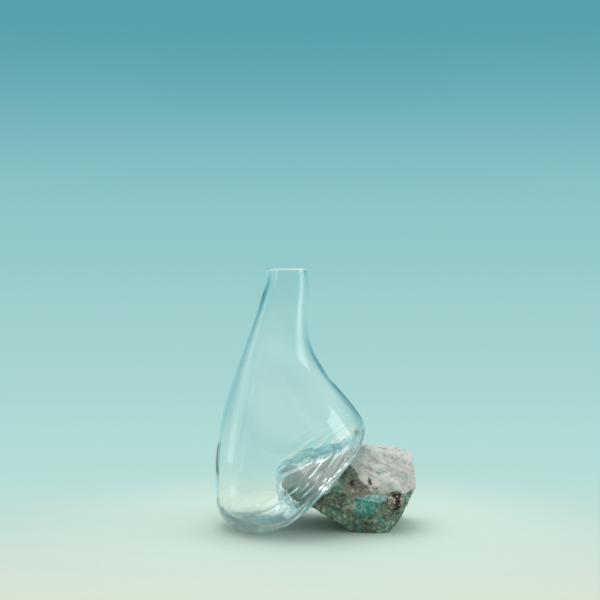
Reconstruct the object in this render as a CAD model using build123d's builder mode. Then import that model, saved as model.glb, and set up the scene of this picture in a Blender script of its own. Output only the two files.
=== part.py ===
from build123d import *
import os
from math import cos, radians, sin

# Blown glass vase and the stone that it leans on.
#
# The vase is one free-blown bubble: a narrow mouth, a long neck that leans a little, a wide belly and a
# ground foot. While it was soft, its lower side was flattened and slumped over a rough stone, so the
# stone's nose sits in a hollow of its own shape, and the stone slides out of that hollow along +X.
# Lengths are in millimetres. X runs from the foot to the stone, Z is up, and the origin is on the foot.

# The bubble's outside is a stack of rounds, from the foot up: how far each one rises from the one
# below, its radius, and its lean, which is how far its centre stands off the origin along X.
FOOT = (0.0, 71.0, 26.0)
WAIST = (42.0, 73.5, 25.5)
BELLY = (42.0, 74.5, 28.5)
SHOULDER = (40.0, 58.5, 21.5)
FLARE = (39.0, 37.5, 13.2)
NECK = (41.0, 25.5, 16.0)
MOUTH = (46.0, 19.8, 21.6)

# The flattened side is a plane square to XZ. It passes through this point and rises towards the stone.
FLAT_X = 62.0
FLAT_Z = 45.5
FLAT_ANGLE = 44.5

# Glass. The heel is where the belly turns into the foot and into the flattened side, and the rim is the
# mouth's fire-polished edge.
WALL = 3.0
MOUTH_WALL = 3.6
FLOOR = 6.0
HEEL_ROUND = 22.0
RIM_ROUND = 0.3 * MOUTH_WALL

# The stone is a lump broken off along flat faces. Each face is square to the direction given by its
# azimuth, from +X towards +Y, and its elevation, and lies that far from the stone's middle. Every face
# that the glass touches faces away from +X, so that the stone slides out.
STONE_X = 80.0
STONE_Y = 5.0
STONE_Z = 41.0
STONE_FACES = (
    (0, -90, STONE_Z),  # base
    (0, 77, 40.0),  # top
    (-92, 46, 38.0),  # front slope
    (-92, -15, 46.0),  # front foot
    (-8, 4, 65.5),  # right end, upper
    (-5, -24, 61.5),  # right end, lower
    (-45, 5, 66.0),  # right corner, front
    (45, 8, 62.0),  # right corner, back
    (92, 5, 45.0),  # back
    (95, 50, 42.0),  # back slope
    (180, 74, 30.5),  # nose, upper
    (178, 5, 63.0),  # nose, blunt end
    (-140, 10, 61.0),  # nose, front cheek
    (140, 10, 60.0),  # nose, back cheek
    (180, -60, 35.0),  # nose, underside
)
GAP = 0.3  # between the stone and the glass that was slumped over it


def direction(azimuth, elevation):
    """The unit vector that points along an azimuth and an elevation, in degrees."""
    level = cos(radians(elevation))
    return Vector(level * cos(radians(azimuth)), level * sin(radians(azimuth)), sin(radians(elevation)))


def bubble(wall, mouth_wall, floor):
    """The bubble with its flattened side, taken in from the outside of the glass by these thicknesses."""
    side = Plane(origin=(FLAT_X, 0, FLAT_Z), z_dir=direction(0, FLAT_ANGLE - 90)).offset(-wall)
    with BuildPart() as form:
        height = 0
        for station in (FOOT, WAIST, BELLY, SHOULDER, FLARE, NECK, MOUTH):
            rise, radius, lean = station
            height += rise
            thickness = mouth_wall if station is MOUTH else wall
            with BuildSketch(Plane.XY.offset(max(height, floor))):
                with Locations((lean, 0)):
                    Circle(radius - thickness)
        loft()
        split(bisect_by=side, keep=Keep.BOTTOM)
        heel = [edge for edge in edges() if edge.bounding_box().max.Z < height - RIM_ROUND]
        fillet(heel, HEEL_ROUND - wall)
    return form.part


def stone_form(clearance):
    """The stone's shape, grown outwards by a clearance on every face."""
    middle = Vector(STONE_X, STONE_Y, STONE_Z)
    reach = 2 * (max(distance for _, _, distance in STONE_FACES) + clearance)
    with BuildPart() as form:
        with Locations(middle):
            Box(reach, reach, reach)
        for azimuth, elevation, distance in STONE_FACES:
            out = direction(azimuth, elevation)
            split(bisect_by=Plane(origin=middle + out * (distance + clearance), z_dir=out), keep=Keep.BOTTOM)
    return form.part


os.makedirs("parts", exist_ok=True)

# The space inside the glass, which the stone's hollow bulges into.
with BuildPart() as cavity:
    add(bubble(WALL, MOUTH_WALL, FLOOR))
    add(stone_form(GAP + WALL), mode=Mode.SUBTRACT)

with BuildPart() as vessel:
    add(bubble(0, 0, 0))
    add(stone_form(GAP), mode=Mode.SUBTRACT)
    add(cavity.part, mode=Mode.SUBTRACT)
    rim = edges().group_by(Axis.Z)[-1]
    fillet(rim, RIM_ROUND)
vessel.part.label = "vessel"
export_step(vessel.part, "parts/vessel.step")

with BuildPart() as stone:
    add(stone_form(0))
stone.part.label = "stone"
export_step(stone.part, "parts/stone.step")
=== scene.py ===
"""Looks for the blown glass vase and the stone that it leans on.

Both pieces are modelled here as fields: a function of place that is negative inside the piece and zero on
its surface. The fields start from the CAD pieces, whose flat faces and outline are read from the frame,
and add what glass and stone really have: soft folds, ripples and an uneven wall, chips and broken faces.
Fields work in millimetres, and the meshes are in metres.
"""
from math import cos, pi, radians, sin
import bpy
import numpy as np
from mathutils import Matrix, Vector


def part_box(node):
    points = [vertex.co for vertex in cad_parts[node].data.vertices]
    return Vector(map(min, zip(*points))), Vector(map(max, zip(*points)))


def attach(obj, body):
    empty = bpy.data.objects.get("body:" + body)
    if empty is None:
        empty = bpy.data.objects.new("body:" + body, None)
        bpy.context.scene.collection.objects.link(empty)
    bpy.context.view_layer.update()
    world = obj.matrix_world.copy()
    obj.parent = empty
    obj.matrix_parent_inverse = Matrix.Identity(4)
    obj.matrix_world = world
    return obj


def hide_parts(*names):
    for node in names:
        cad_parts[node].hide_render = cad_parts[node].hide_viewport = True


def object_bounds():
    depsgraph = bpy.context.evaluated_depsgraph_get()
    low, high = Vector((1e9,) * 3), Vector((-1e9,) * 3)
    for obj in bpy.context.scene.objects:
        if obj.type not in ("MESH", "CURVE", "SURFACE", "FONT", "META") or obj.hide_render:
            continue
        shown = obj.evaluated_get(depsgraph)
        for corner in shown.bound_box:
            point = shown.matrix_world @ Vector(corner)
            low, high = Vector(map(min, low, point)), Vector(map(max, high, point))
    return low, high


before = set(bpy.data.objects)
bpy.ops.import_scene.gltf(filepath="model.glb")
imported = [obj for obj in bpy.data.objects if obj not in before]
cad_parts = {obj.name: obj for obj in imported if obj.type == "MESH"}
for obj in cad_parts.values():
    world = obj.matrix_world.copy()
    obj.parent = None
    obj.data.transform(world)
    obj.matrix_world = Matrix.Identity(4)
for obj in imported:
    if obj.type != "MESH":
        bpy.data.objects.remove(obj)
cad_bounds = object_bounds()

MM = 0.001

# Glass, in millimetres.
WALL = 3.0
MOUTH_WALL = 3.6
FLOOR = 6.0
HEEL_ROUND = 22.0
SIDE_ROUND = 20.0
LIP_ROUND = 5.0
RIM_ROUND = 1.6
HOLLOW_GAP = 1.9  # wide enough for the hollow's rounded edges to clear the stone's
HOLLOW_SOFTNESS = 2.0
DRAPE_ROUND = 15.0
DRAPE_WALL = 4.2  # the slumped glass is thicker, so that its imprint never reaches through it
FOLD_ANGLE = 8.0  # degrees from one fold to the next, seen from where they draw together
FOLD_HEIGHT = 0.19  # of the distance between one fold and the next
FOLDS_OUTSIDE = 0.5  # of the folds' height, which stands out on the outside too
MOUTH_LENGTH = 46.0  # the wall thickens towards the rim over this height
GLASS_STEP = 1.5

# The glass's unevenness: each is a size, a height and a seed.
BUBBLE_WAVE = (85, 0.3, 1)
WALL_WAVE = (80, 0.15, 2)
SIDE_WAVE = (46, 0.4, 6)
DRAPE_WAVE = (30, 0.3, 10)
IMPRINT_WAVES = ((26, 0.35, 7), (11, 0.10, 8))
FLOOR_WAVES = ((34, 0.7, 9), (13, 0.22, 12))

# Stone, in millimetres.
STONE_STEP = 1.0
STONE_SOFTNESS = 0.6
CHIP_COUNT = 60
CRAGS = ((37.0, 1.7), (23.0, 1.2), (14.0, 0.85), (8.5, 0.6), (5.0, 0.38))  # size and height
UNDER_GLASS_SHARE = 0.45  # of the crags' height, where the glass lies over the stone
UNDER_GLASS_DEPTH = 0.9
GRAIN = ((4.2, 0.16), (2.6, 0.10))


# ---------------------------------------------------------------- reading the frame

def corners(node):
    """A CAD node's triangles, as an array of corners in millimetres."""
    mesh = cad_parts[node].data
    mesh.calc_loop_triangles()
    points = np.array([v.co for v in mesh.vertices]) / MM
    triangles = np.array([t.vertices[:] for t in mesh.loop_triangles])
    return points[triangles]


def flat_faces(node, least_area):
    """The planes of a CAD node's flat faces: outward normal, distance from the origin and area."""
    tri = corners(node)
    across = np.cross(tri[:, 1] - tri[:, 0], tri[:, 2] - tri[:, 0])
    area = np.linalg.norm(across, axis=1) / 2
    keep = area > 1e-6
    normal = across[keep] / (2 * area[keep, None])
    distance = (normal * tri[keep, 0]).sum(1)
    area = area[keep]
    rounded = np.round(np.column_stack((normal * 200, distance)))
    _, group = np.unique(rounded, axis=0, return_inverse=True)
    group = group.ravel()
    total = np.bincount(group, area)
    planes = []
    for g in np.argsort(-total):
        if total[g] < least_area:
            break
        share = (area * (group == g)) / total[g]
        n = share @ normal
        d = share @ distance
        if not any(n @ m > 0.9995 and abs(d - e) < 1 for m, e, _ in planes):
            planes.append((n / np.linalg.norm(n), d, total[g]))
    return planes


def outline(node, heights):
    """For each height, the lowest X and the highest Y of a CAD node's outside there."""
    tri = corners(node)
    start = tri.reshape(-1, 3)
    end = tri[:, [1, 2, 0]].reshape(-1, 3)
    found = []
    for height in heights:
        cross = (start[:, 2] - height) * (end[:, 2] - height) < 0
        a, b = start[cross], end[cross]
        t = (height - a[:, 2]) / (b[:, 2] - a[:, 2])
        at = a + (b - a) * t[:, None]
        found.append((at[:, 0].min(), at[:, 1].max()))
    return np.array(found)


STONE_FACES = flat_faces("stone", 15.0)
STONE_NORMALS = np.array([n for n, _, _ in STONE_FACES])
STONE_DISTANCES = np.array([d for _, d, _ in STONE_FACES])
VESSEL_LOW, VESSEL_HIGH = (np.array(c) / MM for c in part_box("vessel"))
STONE_LOW, STONE_HIGH = (np.array(c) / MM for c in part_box("stone"))
TOP = VESSEL_HIGH[2]
SIDE_NORMAL, SIDE_DISTANCE, _ = max(
    (face for face in flat_faces("vessel", 100.0) if face[0][0] > 0.3 and face[0][2] < -0.3
     and abs(face[0][1]) < 0.02),
    key=lambda face: face[1],
)

# The bubble's radius and lean at each height, as smooth curves through the CAD outline. Below the heel
# they run on straight, because there the CAD outline is already rounded off.
LOWEST_LEVEL = HEEL_ROUND + 10
levels = np.linspace(LOWEST_LEVEL, TOP - 3, 60)
left, reach = outline("vessel", levels).T
radius_curve = np.polynomial.Chebyshev.fit(levels, reach, 11)
lean_curve = np.polynomial.Chebyshev.fit(levels, left + reach, 11)
HEIGHTS = np.arange(-10, TOP + 10, 0.5)


def table_of(curve):
    """A curve's value at each of HEIGHTS, run on straight past both ends of what it was fitted to."""
    clipped = np.clip(HEIGHTS, levels[0], levels[-1])
    return curve(clipped) + curve.deriv()(clipped) * (HEIGHTS - clipped)


RADIUS_TABLE = table_of(radius_curve)
LEAN_TABLE = table_of(lean_curve)
RADIUS_SLOPE = np.gradient(RADIUS_TABLE, HEIGHTS)
LEAN_SLOPE = np.gradient(LEAN_TABLE, HEIGHTS)


# ---------------------------------------------------------------- fields

def waves(points, size, seed, count=9):
    """Smooth noise between about -1 and 1: plane waves of nearly one length, in directions of their own."""
    random = np.random.default_rng(seed)
    direction = random.normal(size=(count, 3))
    direction /= np.linalg.norm(direction, axis=1)[:, None]
    number = 2 * pi / size * random.uniform(0.7, 1.3, count)
    phase = random.uniform(0, 2 * pi, count)
    return np.sin(points @ (direction * number[:, None]).T + phase).sum(1) * (1.2 / count ** 0.5) * 0.7


def ripple(points, size, height, seed):
    """Smooth noise of a size and a height."""
    return height * waves(points, size, seed)


def both(a, b, radius):
    """Inside both fields, with the edge between them rounded."""
    past_edge = np.hypot(np.maximum(a + radius, 0), np.maximum(b + radius, 0))
    return np.minimum(-radius, np.maximum(a, b)) + past_edge


def fade(value, start, end):
    """A smooth step from 0 at start to 1 at end."""
    t = np.clip((value - start) / (end - start), 0, 1)
    return t * t * (3 - 2 * t)


def lump(points, normals, distances, softness):
    """Inside all the planes, with edges worn off by the softness."""
    apart = points @ normals.T - distances
    highest = apart.max(1)
    return highest + softness * np.log(np.exp((apart - highest[:, None]) / softness).sum(1))


def bubble(points):
    """The bubble before its side was flattened."""
    x, y, z = points.T
    radius, lean = (np.interp(z, HEIGHTS, table) for table in (RADIUS_TABLE, LEAN_TABLE))
    radius_slope, lean_slope = (np.interp(z, HEIGHTS, table) for table in (RADIUS_SLOPE, LEAN_SLOPE))
    out = np.hypot(x - lean, y)
    steep = (x - lean) / np.maximum(out, 1) * lean_slope + radius_slope
    return (out - radius) / np.sqrt(1 + steep ** 2)


# The folds draw together above the bulge on the stone's side.
GATHER_X = VESSEL_HIGH[0] + 5
GATHER_Z = 0.45 * TOP


def folds_at(points, rock):
    """Folds in the slumped glass: long ridges that run up towards where they draw together.

    A ridge only thickens the wall, so the wall between two ridges keeps its own thickness.
    """
    x, _, z = points.T
    away = np.hypot(GATHER_X - x, GATHER_Z - z)
    turn = np.degrees(np.arctan2(GATHER_Z - z, GATHER_X - x)) / FOLD_ANGLE
    ridges = np.sin(2 * pi * turn + 1.3 * waves(points, 62, 3))
    ridges += 0.45 * np.sin(2 * pi * 1.9 * turn + 1.6 * waves(points, 44, 4) + 1)
    ridges = (ridges + np.sqrt(ridges ** 2 + 0.3)) / 2
    near_rock = 1 - fade(rock, 16, 42)
    on_stone_side = fade(x, -4, 30)
    return ridges * FOLD_HEIGHT * away * radians(FOLD_ANGLE) * fade(away, 6, 40) * near_rock * on_stone_side


def glass(points):
    """The glass itself, between the bubble's outside and its inside."""
    _, _, z = points.T
    around = bubble(points)
    side = points @ SIDE_NORMAL - SIDE_DISTANCE
    rock = lump(points, STONE_NORMALS, STONE_DISTANCES, HOLLOW_SOFTNESS)
    folds = folds_at(points, rock)

    outside = around - ripple(points, *BUBBLE_WAVE) - FOLDS_OUTSIDE * folds
    outside = both(outside, side - ripple(points, *SIDE_WAVE), SIDE_ROUND)
    outside = both(outside, -z, HEEL_ROUND)
    imprint = sum(height * (1 + waves(points, size, seed)) for size, height, seed in IMPRINT_WAVES)
    outside = both(outside, HOLLOW_GAP + imprint - rock, LIP_ROUND)

    wall = WALL + (MOUTH_WALL - WALL) * fade(z, TOP - MOUTH_LENGTH, TOP) + ripple(points, *WALL_WAVE)
    inside = around + wall
    inside = both(inside, side + wall, SIDE_ROUND - WALL)
    uneven_floor = sum(ripple(points, *wave) for wave in FLOOR_WAVES)
    inside = both(inside, FLOOR + uneven_floor - z, HEEL_ROUND - WALL)
    drape = HOLLOW_GAP + DRAPE_WALL + ripple(points, *DRAPE_WAVE) + folds
    inside = both(inside, drape - rock, DRAPE_ROUND)

    return both(np.maximum(outside, -inside), z - TOP, RIM_ROUND)


# ---------------------------------------------------------------- from a field to a mesh

def evaluate(field, points, batch=200000):
    """The field at each point, worked out in batches to save memory."""
    return np.concatenate([field(points[i:i + batch]) for i in range(0, len(points), batch)])


def slope(field, points, h=0.25):
    """The field's gradient."""
    steps = h * np.eye(3)
    return np.stack([(evaluate(field, points + s) - evaluate(field, points - s)) / (2 * h) for s in steps], 1)


def settle(field, points, limit):
    """The points moved onto the field's surface, by at most the limit."""
    gradient = slope(field, points)
    move = evaluate(field, points)[:, None] * gradient / np.maximum((gradient ** 2).sum(1), 0.05)[:, None]
    length = np.linalg.norm(move, axis=1)[:, None]
    return points - move * np.minimum(1, limit / np.maximum(length, 1e-9))


def largest_part(points, faces):
    """The connected part with the most points, without any crumbs beside it."""
    part = np.arange(len(points))
    edges = np.concatenate([faces[:, [i, (i + 1) % 4]] for i in range(4)])
    while True:
        lower = part.copy()
        for a, b in (edges.T, edges.T[::-1]):
            np.minimum.at(lower, a, part[b])
        lower = lower[lower]
        if (lower == part).all():
            break
        part = lower
    kept = part == np.bincount(part).argmax()
    index = np.cumsum(kept) - 1
    return points[kept], index[faces[kept[faces[:, 0]]]]


def surface(field, low, high, step, rounds=3):
    """Points, four-sided faces and outward normals of a field's surface inside a box.

    Each grid cell that the surface crosses gets a point, and each grid edge that it crosses gets a face
    between the four cells round that edge. The points are then evened out and settled on the surface.
    """
    axes = [np.arange(a - 2 * step, b + 3 * step, step) for a, b in zip(low, high)]
    grid = np.stack(np.meshgrid(*axes, indexing="ij"), -1)
    value = evaluate(field, grid.reshape(-1, 3)).reshape(grid.shape[:3])
    shape = np.array(value.shape)
    total = np.zeros((*shape, 3))
    count = np.zeros(shape)
    faces = []
    for axis in range(3):
        ahead = np.eye(3, dtype=int)[axis]
        b, c = np.eye(3, dtype=int)[[(axis + 1) % 3, (axis + 2) % 3]]
        near = value[tuple(slice(0, n - a) for n, a in zip(shape, ahead))]
        far = value[tuple(slice(a, n) for n, a in zip(shape, ahead))]
        at = np.argwhere((near < 0) != (far < 0))
        first, second = near[tuple(at.T)], far[tuple(at.T)]
        cross = grid[tuple(at.T)] + (first / (first - second))[:, None] * step * ahead
        ring = [at, at - b, at - b - c, at - c]
        for cell in ring:
            np.add.at(total, tuple(cell.T), cross)
            np.add.at(count, tuple(cell.T), 1)
        ring = np.stack([np.ravel_multi_index(cell.T, shape) for cell in ring], 1)
        faces.append(np.where((first < 0)[:, None], ring, ring[:, ::-1]))
    used = np.flatnonzero(count)
    index = np.full(count.size, -1)
    index[used] = np.arange(len(used))
    points = total.reshape(-1, 3)[used] / count.ravel()[used, None]
    points, faces = largest_part(points, index[np.concatenate(faces)])
    edges = np.concatenate([faces[:, [i, (i + 1) % 4]] for i in range(4)])
    for _ in range(rounds):
        near_sum = np.zeros_like(points)
        near_count = np.zeros(len(points))
        np.add.at(near_sum, edges[:, 0], points[edges[:, 1]])
        np.add.at(near_count, edges[:, 0], 1)
        points = 0.5 * points + 0.5 * near_sum / near_count[:, None]
        points = settle(field, points, step / 2)
    points = settle(field, points, step / 2)
    normals = slope(field, points)
    return points, faces, normals / np.linalg.norm(normals, axis=1)[:, None]


def new_piece(name, points, faces, normals=None):
    """A Blender mesh object from points in millimetres."""
    mesh = bpy.data.meshes.new(name)
    mesh.vertices.add(len(points))
    mesh.vertices.foreach_set("co", (points * MM).astype(np.float32).ravel())
    mesh.loops.add(faces.size)
    mesh.loops.foreach_set("vertex_index", faces.astype(np.int32).ravel())
    mesh.polygons.add(len(faces))
    mesh.polygons.foreach_set("loop_start", np.arange(0, faces.size, 4, dtype=np.int32))
    mesh.update(calc_edges=True)
    mesh.validate()
    mesh.polygons.foreach_set("use_smooth", np.ones(len(mesh.polygons), bool))
    if normals is not None:
        mesh.normals_split_custom_set_from_vertices(normals.tolist())
    piece = bpy.data.objects.new(name, mesh)
    bpy.context.scene.collection.objects.link(piece)
    return piece


# ---------------------------------------------------------------- the glass

points, faces, normals = surface(glass, VESSEL_LOW, VESSEL_HIGH, GLASS_STEP)
blown_glass = new_piece("blown_glass", points, faces, normals)


# ---------------------------------------------------------------- the stone

# A pit of crystals low on the front, and a notch across the right end.
PIT = np.array([124.0, -43.0, 33.0])
PIT_RADIUS = 9.5
NOTCH_X = STONE_HIGH[0] + 4.0
NOTCH_Z = 58.5
NOTCH_RADIUS = 6.5

# The dark ore below is set back under the pale stone, and the ledge between them rises to a peak.
LEDGE_Z = 38.0
LEDGE_X = 80.0
LEDGE_HALF = 21.0
LEDGE_RISE = 1.26
LEDGE_DEPTH = 2.0

random = np.random.default_rng(11)
chip_normals = random.normal(size=(CHIP_COUNT, 3))
chip_normals /= np.linalg.norm(chip_normals, axis=1)[:, None]
chip_normals = chip_normals[chip_normals[:, 2] > -0.85]
chip_depths = random.uniform(1.0, 5.0, len(chip_normals))
chip_distances = (corners("stone").reshape(-1, 3) @ chip_normals.T).max(0) - chip_depths
not_base = STONE_NORMALS[:, 2] > -0.99


def crags(points):
    """Broken facets: triangle waves in directions of their own, about as much above zero as below."""
    spread = np.random.default_rng(5)
    height = 0
    warped = points + 2.6 * np.stack([waves(points, 31, seed) for seed in (20, 21, 22)], 1)
    for size, amount in CRAGS:
        for _ in range(3):
            way = spread.normal(size=3)
            way /= np.linalg.norm(way)
            ridge = np.abs((warped @ way / size + spread.uniform()) % 1 - 0.5)
            height = height + amount * (4 * ridge - 1) / 3 ** 0.5
    return height


def ledge_height(x):
    """How high the ledge is along the stone: level, but for a peak where the glass lies against it."""
    return LEDGE_Z + LEDGE_RISE * np.maximum(0, LEDGE_HALF - np.abs(x - LEDGE_X))


def broken_rock(points):
    """The stone, with its broken and roughened surface."""
    x, y, z = points.T
    normals = np.concatenate((STONE_NORMALS[not_base], chip_normals))
    distances = np.concatenate((STONE_DISTANCES[not_base], chip_distances))
    block = lump(points, normals, distances, STONE_SOFTNESS)
    side = points @ SIDE_NORMAL - SIDE_DISTANCE
    free = fade(np.maximum(bubble(points), side), 3, 14)
    relief = crags(points)
    pressed = np.maximum(UNDER_GLASS_SHARE * relief + UNDER_GLASS_DEPTH, 0.05)
    cut = free * relief + (1 - free) * pressed
    for number, (size, amount) in enumerate(GRAIN):
        cut = cut + amount * (1 + waves(points, size, 30 + number, 14))
    above_ledge = z - ledge_height(x) - 2 * waves(points, 18, 33)
    cut = cut + free * LEDGE_DEPTH * (1 - fade(above_ledge, -1.5, 1.5))
    block = block + cut
    pit = PIT_RADIUS - np.linalg.norm(points - PIT, axis=1) + 1.1 * waves(points, 5, 34)
    notch = NOTCH_RADIUS - np.hypot(x - NOTCH_X, z - NOTCH_Z) + 0.8 * waves(points, 9, 35)
    return np.maximum(np.maximum(block, np.maximum(pit, notch)), -z)


points, faces, _ = surface(broken_rock, STONE_LOW - 5, STONE_HIGH + 5, STONE_STEP, rounds=1)
rough_stone = new_piece("rough_stone", points, faces)


# ---------------------------------------------------------------- materials

def node(tree, kind, inputs=(), **settings):
    """A new shader node, with its inputs linked or set."""
    made = tree.nodes.new("ShaderNode" + kind)
    for name, value in settings.items():
        setattr(made, name, value)
    for socket, value in dict(inputs).items():
        if isinstance(value, bpy.types.NodeSocket):
            tree.links.new(value, made.inputs[socket])
        else:
            made.inputs[socket].default_value = value
    return made


def principled(name, **values):
    """A new material, its node tree and its shader, with the shader's own sockets set."""
    material = bpy.data.materials.new(name)
    material.use_nodes = True
    shader = material.node_tree.nodes["Principled BSDF"]
    for socket, value in values.items():
        shader.inputs[socket.replace("_", " ")].default_value = value
    return material, material.node_tree, shader


def math(tree, operation, a, b=0.0):
    """A sum, product or other operation on two values."""
    return node(tree, "Math", {0: a, 1: b}, operation=operation).outputs[0]


def step_between(tree, value, low, high):
    """A smooth step from 0 at low to 1 at high. The step runs down where high is the lower."""
    span = {"Value": value, "From Min": low, "From Max": high}
    return node(tree, "MapRange", span, interpolation_type="SMOOTHSTEP").outputs["Result"]


def speckle(tree, place, size, detail=3.0, offset=(0, 0, 0)):
    """Noise with features about this size, in millimetres."""
    moved = node(tree, "VectorMath", {0: place, 1: offset}, operation="ADD").outputs[0]
    inputs = {"Vector": moved, "Scale": 1 / (size * MM), "Detail": detail, "Roughness": 0.6}
    return node(tree, "TexNoise", inputs).outputs["Fac"]


def ramp(tree, value, *stops):
    """A colour ramp through the stops: each is a place on it and a colour."""
    made = node(tree, "ValToRGB", {"Fac": value})
    elements = made.color_ramp.elements
    while len(elements) < len(stops):
        elements.new(0.5)
    for element, (position, colour) in zip(elements, stops):
        element.position = position
        element.color = (*colour, 1)
    return made.outputs["Color"]


def blend(tree, factor, a, b):
    """The colour a where the factor is 0, and b where it is 1."""
    return node(tree, "Mix", {0: factor, 6: a, 7: b}, data_type="RGBA").outputs[2]


def spot(tree, place, centre, radii, ragged):
    """A mask that is 1 inside an ellipsoid with a ragged edge, in millimetres."""
    off = node(tree, "VectorMath", {0: place, 1: [-c * MM for c in centre]}, operation="ADD").outputs[0]
    shrink = [1 / (r * MM) for r in radii]
    scaled = node(tree, "VectorMath", {0: off, 1: shrink}, operation="MULTIPLY").outputs[0]
    length = node(tree, "VectorMath", {0: scaled}, operation="LENGTH").outputs["Value"]
    return step_between(tree, math(tree, "ADD", length, ragged), 1.12, 0.85)


# Colours of the stone's minerals along the grain noise: where on it, and the colour there.
PALE = (
    (0.32, (0.27, 0.36, 0.31)),
    (0.44, (0.50, 0.56, 0.50)),
    (0.54, (0.68, 0.68, 0.62)),
    (0.62, (0.74, 0.56, 0.48)),
)
BROWN = ((0.38, (0.035, 0.028, 0.022)), (0.48, (0.24, 0.22, 0.17)), (0.60, (0.56, 0.42, 0.30)))
TEAL = ((0.36, (0.04, 0.14, 0.11)), (0.48, (0.08, 0.34, 0.27)), (0.62, (0.36, 0.58, 0.49)))
LOWER = (
    (0.36, (0.04, 0.055, 0.04)),
    (0.45, (0.105, 0.13, 0.088)),
    (0.53, (0.19, 0.235, 0.16)),
    (0.62, (0.58, 0.53, 0.41)),
)
VEIN = ((0.38, (0.20, 0.42, 0.42)), (0.58, (0.72, 0.82, 0.83)))
CRYSTAL = ((0.43, (0.018, 0.012, 0.010)), (0.48, (0.12, 0.08, 0.065)), (0.52, (0.85, 0.68, 0.61)))

# Spots of other mineral on the stone: colours, centre and radii in millimetres. Later ones cover earlier.
SPOTS = (
    (BROWN, (89, -36, 43), (17, 24, 8)),
    (TEAL, (94, -40, 27), (15, 22, 8)),
    (TEAL, (60, 48, 40), (24, 20, 9)),
    (BROWN, (112, 50, 36), (20, 20, 12)),
    (VEIN, (111, -42, 35), (19, 16, 3.4)),
    (CRYSTAL, PIT + (0, 3, 0), (8.5, 10, 7.5)),
)


def stone_look(tree, shader):
    """A pale broken face over dark ore: copper-green, rusty brown, a quartz vein and a pit of crystals."""
    place = node(tree, "TexCoord").outputs["Object"]
    at = node(tree, "SeparateXYZ", {"Vector": place}).outputs
    fine = speckle(tree, place, 2.6, 5)
    mixed = speckle(tree, place, 7, 5, (0.2, 0, 0))
    patchy = speckle(tree, place, 16, 4, (0, 0.3, 0))
    grains = math(tree, "ADD", math(tree, "MULTIPLY", fine, 0.45), math(tree, "MULTIPLY", mixed, 0.55))
    ragged = math(tree, "MULTIPLY", math(tree, "SUBTRACT", mixed, 0.5), 3.0)

    off = math(tree, "ABSOLUTE", math(tree, "SUBTRACT", at["X"], LEDGE_X * MM))
    near = math(tree, "MAXIMUM", math(tree, "SUBTRACT", LEDGE_HALF * MM, off), 0.0)
    ledge = math(tree, "MULTIPLY_ADD", near, LEDGE_RISE)
    ledge.node.inputs[2].default_value = LEDGE_Z * MM
    above = math(tree, "SUBTRACT", at["Z"], ledge)
    above = math(tree, "ADD", above, math(tree, "MULTIPLY", math(tree, "SUBTRACT", patchy, 0.5), 0.016))
    pale = step_between(tree, above, -0.0015, 0.0025)

    green = math(tree, "MULTIPLY", step_between(tree, patchy, 0.48, 0.58), 0.5)
    lower = blend(tree, green, ramp(tree, grains, *LOWER), ramp(tree, grains, *TEAL))
    colour = blend(tree, pale, lower, ramp(tree, grains, *PALE))
    for stops, centre, radii in SPOTS:
        colour = blend(tree, spot(tree, place, centre, radii, ragged), colour, ramp(tree, grains, *stops))
    tree.links.new(colour, shader.inputs["Base Color"])

    rough = node(tree, "MapRange", {"Value": fine, "To Min": 0.72, "To Max": 0.95}).outputs["Result"]
    tree.links.new(rough, shader.inputs["Roughness"])
    bump = node(tree, "Bump", {"Height": grains, "Strength": 0.55, "Distance": 0.0012})
    tree.links.new(bump.outputs["Normal"], shader.inputs["Normal"])


def glass_look(tree, shader):
    """Clear glass, fire-polished all over but for its ground foot, with faint cords from the gather."""
    place = node(tree, "TexCoord").outputs["Object"]
    at = node(tree, "SeparateXYZ", {"Vector": place}).outputs
    ground = step_between(tree, at["Z"], 0.0009, 0.0003)
    tree.links.new(math(tree, "MULTIPLY", ground, 0.35), shader.inputs["Roughness"])
    drawn = node(tree, "VectorMath", {0: place, 1: (1.0, 1.0, 0.22)}, operation="MULTIPLY").outputs[0]
    cords = speckle(tree, drawn, 9, 1)
    bump = node(tree, "Bump", {"Height": cords, "Strength": 0.12, "Distance": 0.0004})
    tree.links.new(bump.outputs["Normal"], shader.inputs["Normal"])
    absorb = node(tree, "VolumeAbsorption", {"Color": (0.78, 0.95, 0.96, 1), "Density": 9.0})
    tree.links.new(absorb.outputs["Volume"], tree.nodes["Material Output"].inputs["Volume"])


glass_material, tree, shader = principled(
    "blown_glass", Base_Color=(0.985, 0.995, 0.99, 1), IOR=1.5, Transmission_Weight=1.0)
glass_look(tree, shader)
blown_glass.data.materials.append(glass_material)
stone_material, tree, shader = principled("rough_stone", IOR=1.5)
stone_look(tree, shader)
rough_stone.data.materials.append(stone_material)

for piece, cad_node, body, slot in (
    (blown_glass, "vessel", "vase", "blown_glass"),
    (rough_stone, "stone", "rock", "rough_stone"),
):
    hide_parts(cad_node)
    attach(piece, body)


# ---------------------------------------------------------------- stage, light and camera

# Lengths here are in metres.
FLOOR_COLOUR = (0.64, 0.79, 0.675, 1)
FLOOR_RADIUS = 1.2
FLOOR_FADE = (0.05, 0.36)  # distances between which the floor gives way to the backdrop
LIGHT_COLOUR = (0.92, 0.97, 1.0, 1)
LIGHT_STRENGTH = 0.62
LENS = 67.56  # millimetres
CAMERA_PLACE = (0.0339, -1.091, 0.234)
CAMERA_DIP = 0.763  # degrees below level
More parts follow.
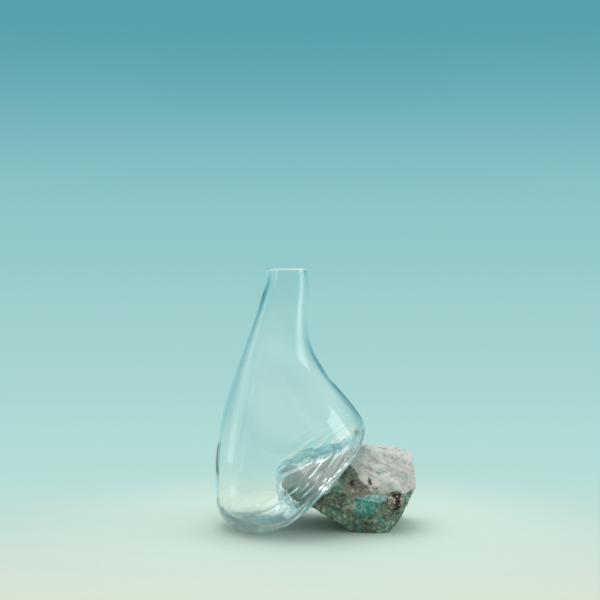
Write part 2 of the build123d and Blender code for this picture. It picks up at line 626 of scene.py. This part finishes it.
# Sine of the elevation, and the backdrop's colour there.
BACKDROP = (
    (-1.0, (0.70, 0.775, 0.665)),
    (-0.26, (0.69, 0.775, 0.668)),
    (-0.205, (0.56, 0.735, 0.672)),
    (-0.165, (0.472, 0.725, 0.685)),
    (-0.10, (0.402, 0.68, 0.658)),
    (0.0, (0.325, 0.61, 0.605)),
    (0.10, (0.235, 0.52, 0.545)),
    (0.25, (0.09, 0.35, 0.42)),
    (0.38, (0.30, 0.56, 0.60)),
    (0.55, (0.85, 0.95, 0.96)),
    (1.0, (0.95, 1.0, 1.0)),
)

disc = bpy.data.meshes.new("floor")
turns = np.linspace(0, 2 * pi, 96, endpoint=False)
ring = [(FLOOR_RADIUS * cos(a), FLOOR_RADIUS * sin(a), 0) for a in turns]
disc.from_pydata(ring, [], [list(range(len(ring)))])
floor = bpy.data.objects.new("floor", disc)
middle = (cad_bounds[0] + cad_bounds[1]) / 2
floor.location = (middle[0], middle[1], 0)
bpy.context.scene.collection.objects.link(floor)

floor_material, tree, shader = principled("floor", Base_Color=FLOOR_COLOUR, Roughness=0.9)
place = node(tree, "TexCoord").outputs["Object"]
distance = node(tree, "VectorMath", {0: place}, operation="LENGTH").outputs["Value"]
clear = node(tree, "BsdfTransparent").outputs["BSDF"]
edge = step_between(tree, distance, *FLOOR_FADE)
mix = node(tree, "MixShader", {0: edge, 1: shader.outputs["BSDF"], 2: clear})
tree.links.new(mix.outputs["Shader"], tree.nodes["Material Output"].inputs["Surface"])
disc.materials.append(floor_material)

world = bpy.data.worlds.new("studio")
bpy.context.scene.world = world
world.use_nodes = True
tree = world.node_tree
tree.nodes.clear()
place = node(tree, "TexCoord").outputs["Generated"]
rise = node(tree, "SeparateXYZ", {"Vector": place}).outputs["Z"]
rise = node(tree, "MapRange", {"Value": rise, "From Min": -1.0}).outputs["Result"]
backdrop = ramp(tree, rise, *(((height + 1) / 2, colour) for height, colour in BACKDROP))
backdrop.node.color_ramp.interpolation = "CARDINAL"
seen = node(tree, "Background", {"Color": backdrop}).outputs[0]
light = node(tree, "Background", {"Color": LIGHT_COLOUR, "Strength": LIGHT_STRENGTH}).outputs[0]
ray = node(tree, "LightPath").outputs
direct = math(tree, "MAXIMUM", ray["Is Camera Ray"], ray["Is Glossy Ray"])
direct = math(tree, "MAXIMUM", direct, ray["Is Transmission Ray"])
mix = node(tree, "MixShader", {0: direct, 1: light, 2: seen}).outputs[0]
tree.links.new(mix, node(tree, "OutputWorld").inputs["Surface"])


def softbox(name, place, target, size, power):
    """A rectangular lamp that faces the target, and that the camera does not see."""
    lamp = bpy.data.lights.new(name, "AREA")
    lamp.shape = "RECTANGLE"
    lamp.size, lamp.size_y = size
    lamp.energy = power
    holder = bpy.data.objects.new(name, lamp)
    holder.location = place
    holder.rotation_euler = (Vector(target) - Vector(place)).to_track_quat("-Z", "Y").to_euler()
    holder.visible_camera = False
    bpy.context.scene.collection.objects.link(holder)


target = (middle[0], middle[1], 0.1)
softbox("overhead", (-0.1, 0.15, 1.4), target, (1.2, 1.2), 9.5)
softbox("right_softbox", (1.2, -0.05, 0.45), target, (0.6, 1.1), 3.2)
softbox("left_softbox", (-1.1, 0.3, 0.4), target, (0.3, 0.9), 0.6)

camera_data = bpy.data.cameras.new("camera")
camera_data.lens = LENS
camera_data.sensor_width = 36
camera = bpy.data.objects.new("camera", camera_data)
camera.location = CAMERA_PLACE
camera.rotation_euler = (radians(90 - CAMERA_DIP), 0, 0)
bpy.context.scene.collection.objects.link(camera)
bpy.context.scene.camera = camera

bpy.context.scene.view_settings.view_transform = "Standard"

# Light runs along inside the wall for many reflections, and would come out black if it were stopped.
bpy.context.scene.cycles.max_bounces = 32
bpy.context.scene.cycles.glossy_bounces = 24
bpy.context.scene.cycles.transmission_bounces = 24
